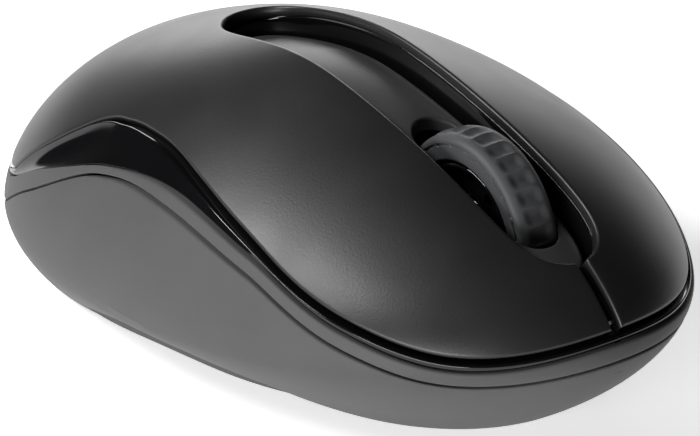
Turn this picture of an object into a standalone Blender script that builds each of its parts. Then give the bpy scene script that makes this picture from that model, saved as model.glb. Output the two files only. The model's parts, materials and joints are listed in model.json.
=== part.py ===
"""A compact cordless computer mouse, taken apart to its switches, wheel carrier, optics and cell.

The part is in metres with +Z up, its nose toward -Y and its underside on z = 0. Shapes are drawn in
millimetres about the middle of the footprint, and `add` scales them once. Angles run round the body
from the nose: 0 is -Y, +90 is +X and 180 is the tail.
"""

import math

import bmesh
import bpy
import numpy as np
from mathutils import Matrix

MM = 0.001

# ---- Body, mm. The body is a superellipse in plan, widest on its equator.
LENGTH, WIDTH = 95.0, 62.6
OUTLINE_POWER = 1.94
OUTLINE_EGG, OUTLINE_FLARE = -0.014, -0.005
EQUATOR_NOSE, EQUATOR_TAIL = 13.3, 4.5
DOME_HEIGHT = (24.1, 2.8, 4.0, 0.5)
DOME_PLAN_POWER, DOME_RISE_POWER = 1.254, 1.714
UNDERSIDE = 0.8
WALL_POWER = 1.543
WALL = 2.2
CLEAR = 0.3

# Curves round the body: (degrees from the nose, mm), the same on both sides.
TUCK_STATIONS = ((0, 12.5), (30, 10.8), (60, 10.9), (90, 11.6), (120, 5.3), (150, 2.3), (180, 3.5))
COVER_EDGE_STATIONS = (
    (0, 16.2), (22, 14.8), (38, 16.7), (58, 20.3), (74, 22.0), (90, 22.95), (104, 23.3),
    (116, 23.08), (126, 22.4), (134, 20.7), (140, 15.6), (146, 10.0), (160, 8.1), (180, 7.5),
)
TRIM_EDGE_STATIONS = (
    (0, 14.8), (22, 13.2), (38, 15.2), (58, 18.9), (90, 20.7),
    (118, 18.7), (134, 14.2), (146, 8.9), (160, 6.5), (180, 5.9),
)
PARTING_STATIONS = (
    (0, 12.9), (22, 11.5), (38, 13.6), (58, 17.6), (90, 19.5),
    (118, 17.7), (134, 11.3), (146, 5.8), (160, 4.7), (180, 4.4),
)
PRESS_GAP_STATIONS = ((0, 0.75), (90, 0.75), (120, 0.65), (150, 0.6), (180, 0.45))

# ---- Top opening, slot and click plates
OPENING_FRONT, OPENING_REAR, OPENING_HALF = -40.3, 19.7, 5.5
OPENING_POWER = 10.0
SLOT_HALF = 0.6
FLEX_Y = 8.0
FLEX_Z = 27.0
COVER_WALL = 1.6
PUSHER_X, PUSHER_Y = 12.5, -24.0

# ---- Wheel and carrier
WHEEL_Y, WHEEL_Z = -23.5, 18.9
TYRE_RADIUS, TYRE_HALF, TYRE_INNER = 10.8, 2.5, 7.8
HUB_RADIUS, HUB_HALF = 7.5, 2.2
HUB_HOLE_AT = 4.8
AXLE_RADIUS, AXLE_HALF = 1.1, 7.3
CARRIER_Y, PIVOT_Z = -8.0, 16.7
CARRIER_INNER, CARRIER_OUTER = 5.2, 6.7
CARRIER_LOW, CARRIER_HIGH = 15.0, 19.2
PIN_RADIUS, PIN_HALF = 1.0, 9.1
TACT_X, TACT_Y = 6.0, -29.4
WHEEL_SLOT_FRONT, WHEEL_SLOT_REAR, WHEEL_SLOT_HALF = -35.0, -13.2, 3.15

# ---- Inside
FLOOR_TOP = 2.6
BOARD_LOW, BOARD_HIGH = 3.6, 4.8
PART_LOW = BOARD_HIGH + CLEAR
SENSOR_Y = -11.1
CELL_RADIUS, CELL_FRONT, CELL_REAR, CELL_Z = 5.25, -5.1, 38.6, 8.6
DOOR_HALF, DOOR_FRONT, DOOR_TOP = 11.0, 4.0, 2.6
CASE_SCREW_X, CASE_SCREW_Y = 14.6, 18.0
BOARD_SCREW_X, BOARD_SCREW_Y = 17.6, -12.6
POWER_X, POWER_Y = -16.0, 0.3
FEET = ((-6.6, -24.5, 3.0), (6.6, -24.5, 3.0), (-15.7, 28.5, 2.0), (15.7, 28.5, 2.0))

SEGMENTS = 60


# ---- Curves and surfaces
def even_curve(stations):
    """A smooth curve through the stations, flat at the nose and the tail."""
    at = np.radians([degrees for degrees, _ in stations])
    value = np.array([height for _, height in stations], float)
    slope = np.zeros(len(value))
    slope[1:-1] = (value[2:] - value[:-2]) / (at[2:] - at[:-2])

    def curve(angle):
        a = np.abs((np.asarray(angle, float) + math.pi) % (2 * math.pi) - math.pi)
        i = np.clip(np.searchsorted(at, a, side="right") - 1, 0, len(at) - 2)
        width = at[i + 1] - at[i]
        t = (a - at[i]) / width
        near = (1 + 2 * t) * (1 - t) ** 2 * value[i] + t * (1 - t) ** 2 * width * slope[i]
        far = t * t * (3 - 2 * t) * value[i + 1] + t * t * (t - 1) * width * slope[i + 1]
        return near + far

    return curve


tuck = even_curve(TUCK_STATIONS)
cover_edge = even_curve(COVER_EDGE_STATIONS)
trim_edge = even_curve(TRIM_EDGE_STATIONS)
parting = even_curve(PARTING_STATIONS)
press_gap = even_curve(PRESS_GAP_STATIONS)


def plan_radius(angle):
    c, s = np.abs(np.cos(angle)), np.abs(np.sin(angle))
    power = OUTLINE_POWER
    round_body = ((2 * c / LENGTH) ** power + (2 * s / WIDTH) ** power) ** (-1 / power)
    egg = OUTLINE_EGG * (np.cos(angle) - np.cos(3 * angle))
    flare = OUTLINE_FLARE * (np.cos(3 * angle) - np.cos(5 * angle))
    return round_body * (1 + egg + flare)


def equator(y):
    return (EQUATOR_NOSE + EQUATOR_TAIL) / 2 - (EQUATOR_NOSE - EQUATOR_TAIL) * y / LENGTH


def dome(x, y):
    """Height of the body's top surface over a point of the plan."""
    share = np.hypot(x, y) / plan_radius(np.arctan2(x, -y))
    u = 2 * y / LENGTH
    rise = sum(c * u**i for i, c in enumerate(DOME_HEIGHT))
    fall = np.clip(1 - share**DOME_PLAN_POWER, 0, 1) ** (1 / DOME_RISE_POWER)
    return equator(y) + rise * fall


def body_radius(angle, z):
    """Plan radius of the body's skin at a height, over the equator or under it."""
    angle, z = np.broadcast_arrays(np.asarray(angle, float), np.asarray(z, float))
    full = plan_radius(angle)
    level = equator(-full * np.cos(angle))
    low, high = np.zeros_like(full), np.ones_like(full)
    for _ in range(34):
        middle = (low + high) / 2
        r = full * middle
        above = dome(r * np.sin(angle), -r * np.cos(angle)) > z
        low, high = np.where(above, middle, low), np.where(above, high, middle)
    depth = np.clip((level - z) / (level - UNDERSIDE), 0, 1)
    return np.where(z > level, full * low, full - tuck(angle) * depth**WALL_POWER)


def skin(angle, z):
    angle, z = np.broadcast_arrays(np.asarray(angle, float), np.asarray(z, float))
    r = body_radius(angle, z)
    return np.stack([r * np.sin(angle), -r * np.cos(angle), z], -1)


def inside_skin(angle, z, depth):
    """A point of the skin moved level toward the middle, so that edges in step stay in step."""
    outside = skin(angle, z)
    share = 1 - depth / np.linalg.norm(outside[..., :2], axis=-1)
    return outside * np.stack([share, share, np.ones_like(share)], -1)


def lifted(plan):
    """Plan points put on the dome."""
    return np.concatenate([plan, dome(plan[..., 0], plan[..., 1])[..., None]], -1)


def under_dome(points, depth):
    """Points of the dome moved straight in by depth."""
    x, y, step = points[..., 0], points[..., 1], 0.05
    across = (dome(x + step, y) - dome(x - step, y)) / (2 * step)
    along = (dome(x, y + step) - dome(x, y - step)) / (2 * step)
    normal = np.stack([-across, -along, np.ones_like(x)], -1)
    normal /= np.linalg.norm(normal, axis=-1, keepdims=True)
    return points - depth * normal


def cover_inside(top, edges, flex_rows):
    """The inner face of a cover: in from the dome, level along its outer edges, square at the flex line."""
    inside = under_dome(top, COVER_WALL)
    for edge in edges:
        share = 1 - WALL / np.linalg.norm(top[edge][..., :2], axis=-1)
        inside[edge] = top[edge] * np.stack([share, share, np.ones_like(share)], -1)
    inside[flex_rows, :, 1] = top[flex_rows, :, 1]
    return inside


def under_cover(x, y, reach):
    """The height at which a post of that reach from its centre ends inside a cover's wall."""
    return min(float(dome(x + a, y + b)) for a in (-reach, reach) for b in (-reach, reach)) - 0.4


def rim_height(y):
    """Height of the cover along the sides of the top opening."""
    return dome(np.full_like(np.asarray(y, float), OPENING_HALF), y)


# ---- Paths
def evenly(path, count):
    """The same path with count points, evenly spaced along it."""
    path = np.asarray(path, float)
    run = np.concatenate([[0], np.cumsum(np.linalg.norm(np.diff(path, axis=0), axis=1))])
    at = np.linspace(0, run[-1], count)
    return np.stack([np.interp(at, run, path[:, i]) for i in range(path.shape[1])], -1)


def opening_side(front, rear, half, power=OPENING_POWER):
    """The +X half of a long rounded opening, from its front tip to its rear tip."""
    v = -np.cos(np.linspace(0, math.pi, 721))
    x = half * np.sqrt(np.clip(1 - np.abs(v) ** power, 0, 1))
    return np.stack([x, (front + rear) / 2 + v * (rear - front) / 2], -1)


def opening_loop(front, rear, half, count, power=OPENING_POWER):
    side = evenly(opening_side(front, rear, half, power), count // 2 + 1)
    return np.concatenate([side[:-1], (side * [-1, 1])[:0:-1]])


def cover_outline(start, end, count):
    angle = np.linspace(start, end, count)
    return skin(angle, cover_edge(angle))[:, :2]


def outline_angle(y):
    """The angle on the +X side at which the cover's edge reaches y."""
    low, high = math.radians(20), math.radians(160)
    for _ in range(40):
        middle = (low + high) / 2
        here = skin(middle, cover_edge(middle))[..., 1]
        low, high = (middle, high) if here < y else (low, middle)
    return low


# ---- Meshes, each as (points, faces) in millimetres
def quads_round(rows, closed_rows):
    """Quads between neighbouring closed loops of one length."""
    count, length = rows
    last = count if closed_rows else count - 1
    return [
        (i * length + j, i * length + (j + 1) % length,
         (i + 1) % count * length + (j + 1) % length, (i + 1) % count * length + j)
        for i in range(last)
        for j in range(length)
    ]


def ring_solid(loops):
    """A closed ring from loops that follow its section round; loops is (section, along, 3)."""
    loops = np.asarray(loops)
    return loops.reshape(-1, 3), quads_round(loops.shape[:2], True)


def capped_solid(loops):
    """A closed body from stacked loops, with flat ends."""
    loops = np.asarray(loops)
    count, length = loops.shape[:2]
    ends = [tuple(range(length))[::-1], tuple(range((count - 1) * length, count * length))]
    return loops.reshape(-1, 3), quads_round((count, length), False) + ends


def sheet_solid(outside, inside):
    """A closed plate between two grids of one shape."""
    rows, columns = outside.shape[:2]
    size = rows * columns

    def corner(i, j, side):
        return side * size + i * columns + j

    faces = []
    for i in range(rows - 1):
        for j in range(columns - 1):
            quad = [(i, j), (i + 1, j), (i + 1, j + 1), (i, j + 1)]
            faces.append([corner(a, b, 0) for a, b in quad])
            faces.append([corner(a, b, 1) for a, b in quad[::-1]])
    edge = [(i, 0) for i in range(rows)] + [(rows - 1, j) for j in range(1, columns)]
    edge += [(i, columns - 1) for i in range(rows - 2, -1, -1)]
    edge += [(0, j) for j in range(columns - 2, 0, -1)]
    for a, b in zip(edge, edge[1:] + edge[:1]):
        faces.append([corner(*a, 0), corner(*a, 1), corner(*b, 1), corner(*b, 0)])
    return np.concatenate([outside.reshape(-1, 3), inside.reshape(-1, 3)]), faces


def box(low, high):
    (x0, y0, z0), (x1, y1, z1) = low, high
    loop = [(x0, y0), (x1, y0), (x1, y1), (x0, y1)]
    return capped_solid([[(x, y, z) for x, y in loop] for z in (z0, z1)])


def turned(axis, points):
    """Points drawn about Z, turned so that the axis is X or Y."""
    points = np.asarray(points, float)
    order = {"z": (0, 1, 2), "x": (2, 0, 1), "y": (1, 2, 0)}[axis]
    return points[..., order]


def lathe(centre, axis, profile, count=32):
    """A closed body turned about an axis; profile is (distance along, radius) pairs."""
    angle = np.linspace(0, 2 * math.pi, count, endpoint=False)
    loops = np.array([
        np.stack([r * np.cos(angle), r * np.sin(angle), np.full(count, along)], -1)
        for along, r in profile
    ])
    return capped_solid(turned(axis, loops) + np.asarray(centre, float))


def bored_lathe(centre, axis, profile, count=32):
    """A ring turned about an axis; profile is a closed loop of (distance along, radius)."""
    points, _ = lathe(centre, axis, profile, count)
    return points, quads_round((len(profile), count), True)


def rod(centre, axis, radius, low, high, count=24):
    return lathe(centre, axis, [(low, radius), (high, radius)], count)


def prism(axis, outline, low, high):
    loops = [[(a, b, c) for a, b in outline] for c in (low, high)]
    return capped_solid(turned(axis, loops))


def coil(centre, axis, radii, length, turns, wire, steps=11, around=5):
    """A helical spring from the centre along its axis."""
    sweep = np.linspace(0, 2 * math.pi * turns, int(steps * turns) + 1)
    share = sweep / sweep[-1]
    radius = radii[0] + (radii[1] - radii[0]) * share
    loops = []
    for a, r, s in zip(sweep, radius, share):
        out = np.array([math.cos(a), math.sin(a), 0])
        middle = out * r + [0, 0, wire + (length - 2 * wire) * s]
        ring = np.linspace(0, 2 * math.pi, around, endpoint=False)[:, None]
        loops.append(middle + wire * (np.cos(ring) * out + np.sin(ring) * [0, 0, 1]))
    return capped_solid(turned(axis, loops) + np.asarray(centre, float))


def mesh_of(name, body):
    points, faces = body
    bm = bmesh.new()
    corners = [bm.verts.new(p) for p in np.asarray(points) * MM]
    for face in faces:
        bm.faces.new([corners[i] for i in face])
    bmesh.ops.remove_doubles(bm, verts=bm.verts, dist=1e-7)
    bmesh.ops.recalc_face_normals(bm, faces=bm.faces)
    mesh = bpy.data.meshes.new(name)
    bm.to_mesh(mesh)
    bm.free()
    return mesh


def shaped(body, *steps):
    """The body's mesh after each (operation, body) step in turn."""
    held = bpy.data.objects.new("shaping", mesh_of("shaping", body))
    bpy.context.scene.collection.objects.link(held)
    for operation, other in steps:
        tool = bpy.data.objects.new("tool", mesh_of("tool", other))
        bpy.context.scene.collection.objects.link(tool)
        change = held.modifiers.new("change", "BOOLEAN")
        change.operation, change.solver, change.object = operation, "EXACT", tool
        graph = bpy.context.evaluated_depsgraph_get()
        result = bpy.data.meshes.new_from_object(held.evaluated_get(graph))
        held.modifiers.clear()
        held.data = result
        bpy.data.objects.remove(tool)
    mesh = held.data
    bpy.data.objects.remove(held)
    return mesh


def add(name, body, material, origin=(0, 0, 0)):
    """A scene object from a body or a finished mesh, with its origin where its joint turns."""
    mesh = body if isinstance(body, bpy.types.Mesh) else mesh_of(name, body)
    mesh.name = name
    mesh.transform(Matrix.Translation([-MM * c for c in origin]))
    mesh.materials.clear()
    mesh.materials.append(material)
    obj = bpy.data.objects.new(name, mesh)
    obj.location = [MM * c for c in origin]
    bpy.context.scene.collection.objects.link(obj)
    return obj


def material(name, colour, roughness, metallic=0.0):
    made = bpy.data.materials.new(name)
    made.use_nodes = True
    surface = made.node_tree.nodes["Principled BSDF"]
    surface.inputs["Base Color"].default_value = (*colour, 1)
    surface.inputs["Roughness"].default_value = roughness
    surface.inputs["Metallic"].default_value = metallic
    made.diffuse_color = (*colour, 1)
    return made


# ---- Sub-parts
def band(low, high, depth):
    """A ring of the skin between two height curves."""
    angle = np.linspace(0, 2 * math.pi, SEGMENTS, endpoint=False)
    z0, z1 = low(angle), high(angle)
    return ring_solid([
        skin(angle, z0), skin(angle, z1),
        inside_skin(angle, z1, depth), inside_skin(angle, z0, depth),
    ])


def base_levels(shares):
    angle = np.linspace(0, 2 * math.pi, SEGMENTS, endpoint=False)
    top = parting(angle) - CLEAR / 2
    return angle, [UNDERSIDE + share * (top - UNDERSIDE) for share in shares]


def base_shell():
    angle, levels = base_levels((0, 0.1, 0.24, 0.42, 0.62, 0.82, 1))
    outside = [skin(angle, z) for z in levels]
    _, levels = base_levels((1, 0.72, 0.45, 0.22))
    inside = [inside_skin(angle, z, WALL) for z in levels]
    foot = inside[-1].copy()
    foot[:, 2] = FLOOR_TOP
    steps = [("DIFFERENCE", box((-DOOR_HALF, DOOR_FRONT, -1), (DOOR_HALF, 60, DOOR_TOP)))]
    for side in (-1, 1):
        near, far = sorted((side * 7.7, side * 9.2))
        post = box((near, CARRIER_Y - 2, 2.1), (far, CARRIER_Y + 2, 18.1))
        notch = box((near - 1, CARRIER_Y - 1.3, 15.4), (far + 1, CARRIER_Y + 1.3, 19))
        boss = rod((side * CASE_SCREW_X, CASE_SCREW_Y, 0), "z", 3.4, 2.1, 5.4)
        seat = rod((side * CASE_SCREW_X, CASE_SCREW_Y, 0), "z", 2.5, -1, 3.4)
        bore = rod((side * CASE_SCREW_X, CASE_SCREW_Y, 0), "z", 1.2, 2, 6)
        stand = rod((side * BOARD_SCREW_X, BOARD_SCREW_Y, 0), "z", 2.2, 2.1, 3.3)
        blind = rod((side * BOARD_SCREW_X, BOARD_SCREW_Y, 0), "z", 1.2, 1.7, 4)
        steps += [("UNION", post), ("DIFFERENCE", notch), ("UNION", boss), ("DIFFERENCE", seat)]
        steps += [("DIFFERENCE", bore), ("UNION", stand), ("DIFFERENCE", blind)]
    steps.append(("DIFFERENCE", box((-4, SENSOR_Y - 3.2, -1), (4, SENSOR_Y + 3.2, 4))))
    window = box((POWER_X - 1.7, POWER_Y - 2.3, -1), (POWER_X + 1.7, POWER_Y + 5.7, 4))
    steps.append(("DIFFERENCE", window))
    return shaped(capped_solid([*outside, *inside, foot]), *steps)


def battery_door():
    angle, levels = base_levels((0, 0.1, 0.24, 0.42, 0.62, 0.82, 1))
    body = capped_solid([skin(angle, z) for z in levels])
    half = DOOR_HALF - CLEAR
    room = box((-half, DOOR_FRONT + CLEAR, -1), (half, 60, DOOR_TOP - CLEAR))
    pull = rod((0, DOOR_FRONT + 7, 0), "y", 3.0, -3, 3)
    thumb = (pull[0] * [1, 1, 0.12] + [0, 0, UNDERSIDE], pull[1])
    return shaped(body, ("INTERSECT", room), ("DIFFERENCE", thumb))


def palm_cover():
    opening = opening_side(OPENING_FRONT, OPENING_REAR, OPENING_HALF)
    start = FLEX_Y + CLEAR / 2
    rear = np.concatenate([[[OPENING_HALF, start]], opening[opening[:, 1] >= start]])
    side = evenly(rear, 17)
    inner = np.concatenate([side, (side * [-1, 1])[-2::-1]])
    edge_angle = outline_angle(start)
    outer = evenly(cover_outline(edge_angle, 2 * math.pi - edge_angle, 241), len(inner))
    share = np.linspace(0, 1, 6)[None, :, None]
    top = lifted(inner[:, None] * (1 - share) + outer[:, None] * share)
    steps = []
    for x in (-CASE_SCREW_X, CASE_SCREW_X):
        high = under_cover(x, CASE_SCREW_Y, 1.8)
        steps.append(("UNION", rod((x, CASE_SCREW_Y, 0), "z", 2.4, 5.8, high)))
        steps.append(("DIFFERENCE", rod((x, CASE_SCREW_Y, 0), "z", 1.2, 5, 13)))
    return shaped(sheet_solid(top, cover_inside(top, [np.s_[:, -1]], [0, -1])), *steps)


def click_plate(side):
    """The front cover on one side of the slot, with the pusher that works its switch."""
    end = FLEX_Y - CLEAR / 2
    opening = opening_side(OPENING_FRONT, OPENING_REAR, OPENING_HALF)
    past_slot = opening[(opening[:, 0] >= SLOT_HALF) & (opening[:, 1] < end)]
    past_slot = np.concatenate([past_slot, [[OPENING_HALF, end]]])
    nose_angle = 0.2
    for _ in range(20):
        nose_angle *= SLOT_HALF / skin(nose_angle, cover_edge(nose_angle))[..., 0]
    turn, far = math.radians(34), outline_angle(end)
    nose = skin(nose_angle, cover_edge(nose_angle))[:2]
    slot = evenly([nose, [SLOT_HALF, past_slot[0, 1]]], 6)
    inner = np.concatenate([slot[:-1], evenly(past_slot, 18)])
    outer = evenly(cover_outline(turn, far, 121), len(inner))
    front = evenly(cover_outline(nose_angle, turn, 61), 8)
    back = evenly([inner[-1], outer[-1]], 8)
    u = np.linspace(0, 1, len(inner))[:, None, None]
    v = np.linspace(0, 1, 8)[None, :, None]
    plan = (1 - v) * inner[:, None] + v * outer[:, None] + (1 - u) * front[None] + u * back[None]
    plan -= (1 - u) * ((1 - v) * inner[0] + v * outer[0]) + u * ((1 - v) * inner[-1] + v * outer[-1])
    top = lifted(plan * [side, 1])
    x = side * PUSHER_X
    high = under_cover(x, PUSHER_Y, 1.6)
    pusher = box((x - 1.6, PUSHER_Y - 1.6, 12.7), (x + 1.6, PUSHER_Y + 1.6, high))
    body = sheet_solid(top, cover_inside(top, [np.s_[:, -1], np.s_[0, :]], [-1]))
    return shaped(body, ("UNION", pusher))


def lined_loop(inset, drop, half=None, front=None, rear=None, count=48, power=OPENING_POWER):
    """A loop of the top opening, inset in plan and dropped from the cover's rim."""
    front = OPENING_FRONT + inset if front is None else front
    rear = OPENING_REAR - inset if rear is None else rear
    plan = opening_loop(front, rear, OPENING_HALF - inset if half is None else half, count, power)
    z = rim_height(plan[:, 1]) - drop
    return np.concatenate([plan, z[:, None]], -1)


def centre_tray():
    slot = {"half": 3.7, "front": WHEEL_SLOT_FRONT - 0.5, "rear": WHEEL_SLOT_REAR + 0.5, "power": 5}
    return ring_solid([
        lined_loop(0.3, 2.2), lined_loop(0.3, 5.7), lined_loop(0, 5.7, **slot),
        lined_loop(0, 4.75, **slot), lined_loop(1.0, 4.75), lined_loop(1.0, 2.2),
    ])


def centre_spine():
    """The crowned bar in the opening, with the wheel's slot through it."""
    outer = lined_loop(1.35, 0)
    slot = lined_loop(0, 0, WHEEL_SLOT_HALF, WHEEL_SLOT_FRONT, WHEEL_SLOT_REAR, power=5)

    def row(share, depth):
        loop = outer * (1 - share) + slot * share
        crown = 2.7 + 0.6 * (loop[:, 0] / (OPENING_HALF - 1.35)) ** 2
        loop[:, 2] = rim_height(loop[:, 1]) - crown - depth
        return loop

    top = [row(share, 0) for share in (0, 0.3, 0.65, 1)]
    return ring_solid(top + [row(share, 1.1) for share in (1, 0.5, 0)])


def nose_divider():
    """The gloss strip seen through the slot between the click plates."""
    y = np.linspace(-43.7, OPENING_FRONT - 0.1, 7)
    high = dome(np.zeros_like(y), y) - COVER_WALL - 1.6
    front = list(zip(y, high))
    back = list(zip(y[::-1], high[::-1] - 1.2))
    return prism("x", front + back, -1.8, 1.8)


def tyre():
    profile = [
        (-TYRE_HALF + 0.5, TYRE_INNER), (-TYRE_HALF, TYRE_INNER + 0.5), (-TYRE_HALF, TYRE_RADIUS - 1.3),
        (-1.8, TYRE_RADIUS - 0.4), (-0.8, TYRE_RADIUS), (0.8, TYRE_RADIUS), (1.8, TYRE_RADIUS - 0.4),
        (TYRE_HALF, TYRE_RADIUS - 1.3), (TYRE_HALF, TYRE_INNER + 0.5), (TYRE_HALF - 0.5, TYRE_INNER),
    ]
    return bored_lathe((0, WHEEL_Y, WHEEL_Z), "x", profile, 40)


def hub():
    bore = AXLE_RADIUS + CLEAR
    profile = [
        (-HUB_HALF, HUB_RADIUS), (-HUB_HALF, HUB_RADIUS - 0.9), (-0.9, HUB_RADIUS - 1.6),
        (-0.9, 3.4), (-HUB_HALF, 2.9), (-HUB_HALF, bore), (HUB_HALF, bore), (HUB_HALF, 2.9),
        (0.9, 3.4), (0.9, HUB_RADIUS - 1.6), (HUB_HALF, HUB_RADIUS - 0.9), (HUB_HALF, HUB_RADIUS),
    ]
    body = bored_lathe((0, WHEEL_Y, WHEEL_Z), "x", profile, 30)
    steps = []
    for i in range(6):
        a = math.radians(60 * i)
        centre = (0, WHEEL_Y + HUB_HOLE_AT * math.cos(a), WHEEL_Z + HUB_HOLE_AT * math.sin(a))
        steps.append(("DIFFERENCE", rod(centre, "x", 0.75, -2, 2, 8)))
    return shaped(body, *steps)


def wheel_carrier():
    """Two rails joined behind the wheel, with pivot pins, axle notches and a foot for the switch."""
    rear = CARRIER_Y + 1.3
    steps = []
    body = box((-CARRIER_OUTER, CARRIER_Y - 1.0, CARRIER_LOW), (CARRIER_OUTER, rear, CARRIER_HIGH))
    for side in (-1, 1):
        near, far = sorted((side * CARRIER_INNER, side * CARRIER_OUTER))
        rail = box((near, -31.4, CARRIER_LOW), (far, rear - 0.4, CARRIER_HIGH - 0.1))
        notch = box((near - 1, WHEEL_Y - 1.5, WHEEL_Z - 1.4), (far + 1, WHEEL_Y + 1.5, 21))
        steps += [("UNION", rail), ("DIFFERENCE", notch)]
    steps.append(("UNION", rod((0, CARRIER_Y, PIVOT_Z), "x", PIN_RADIUS, -PIN_HALF, PIN_HALF, 20)))
    foot = box((TACT_X - 0.75, TACT_Y - 1.2, 10.0), (TACT_X + 0.65, TACT_Y + 1.2, 16.2))
    return shaped(body, *steps, ("UNION", foot))


def main_board():
    outline = [
        (4.0, -31.2), (9.4, -31.2), (15.3, -24.2), (20.0, -14.0), (20.0, -8.4),
        (-20.0, -8.4), (-20.0, -14.0), (-15.3, -24.2), (-9.4, -31.2), (-4.0, -31.2),
        (-4.0, -14.2), (4.0, -14.2),
    ]
    steps = [("DIFFERENCE", rod((0, SENSOR_Y, 0), "z", 1.6, 0, 9))]
    for side in (-1, 1):
        near, far = sorted((side * 7.3, side * 9.6))
        steps.append(("DIFFERENCE", box((near, CARRIER_Y - 2.4, 0), (far, CARRIER_Y + 2.4, 9))))
        hole = rod((side * BOARD_SCREW_X, BOARD_SCREW_Y, 0), "z", 1.3, 0, 9)
        steps.append(("DIFFERENCE", hole))
    return shaped(prism("z", outline, BOARD_LOW, BOARD_HIGH), *steps)


def battery_bay():
    wall = [
        (-8.0, 2.95), (40.0, 2.95), (43.2, 4.2), (43.2, 7.9), (30.0, 9.9), (30.0, 15.3), (26.0, 15.3),
        (26.0, 9.9), (10.0, 9.9), (10.0, 15.3), (6.0, 15.3), (6.0, 9.9), (-8.0, 9.9),
    ]
    steps = [("UNION", prism("x", wall, -6.8, -5.75))]
    steps.append(("UNION", box((-6.0, -8.0, 2.95), (6.0, -7.0, 9.6))))
    steps.append(("UNION", box((-6.0, 42.2, 4.3), (6.0, 43.2, 7.8))))
    for y in (6.0, 26.0):
        steps.append(("UNION", box((-6.0, y + 0.2, 14.3), (6.0, y + 3.8, 15.2))))
    return shaped(prism("x", wall, 5.75, 6.8), *steps)


def cell():
    """A AAA cell, nub to the front."""
    profile = [
        (CELL_FRONT - 0.9, 1.8), (CELL_FRONT, 1.8), (CELL_FRONT, 4.9), (CELL_FRONT + 0.4, CELL_RADIUS),
        (CELL_REAR - 0.4, CELL_RADIUS), (CELL_REAR, 4.9),
    ]
    return lathe((0, 0, CELL_Z), "y", profile, 40)


def screw(x, y, seat, tip):
    """A pan-head screw with its tip up when tip is over the seat, and a cross in its head."""
    way = 1 if tip > seat else -1
    head = rod((x, y, 0), "z", 1.9, *sorted((seat, seat - way * 1.1)), 20)
    shank = rod((x, y, 0), "z", 0.85, *sorted((seat - way * 0.3, tip)), 14)
    face = seat - way * 1.1
    cuts = []
    for long, wide in ((1.2, 0.25), (0.25, 1.2)):
        low, high = sorted((face - way, face + way * 0.5))
        cuts.append(("DIFFERENCE", box((x - long, y - wide, low), (x + long, y + wide, high))))
    return shaped(head, ("UNION", shank), *cuts)


def foot(x, y, straight):
    """A low-friction pad with round ends, straight for a length each way from its middle."""
    ends = [math.radians(180 * i / 8 - 90) for i in range(9)]
    outline = [(x + straight + 2.2 * math.cos(a), y + 2.2 * math.sin(a)) for a in ends]
    outline += [(x - straight - 2.2 * math.cos(a), y - 2.2 * math.sin(a)) for a in ends]
    return prism("z", outline, 0, UNDERSIDE - CLEAR)


def power_slider():
    plate = box((POWER_X - 1.4, POWER_Y - 2.0, 1.1), (POWER_X + 1.4, POWER_Y + 2.0, 2.5))
    cuts = [
        ("DIFFERENCE", box((POWER_X - 2, POWER_Y + y - 0.25, 0), (POWER_X + 2, POWER_Y + y + 0.25, 1.4)))
        for y in (-1.2, 0, 1.2)
    ]
    return shaped(plate, *cuts)


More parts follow.
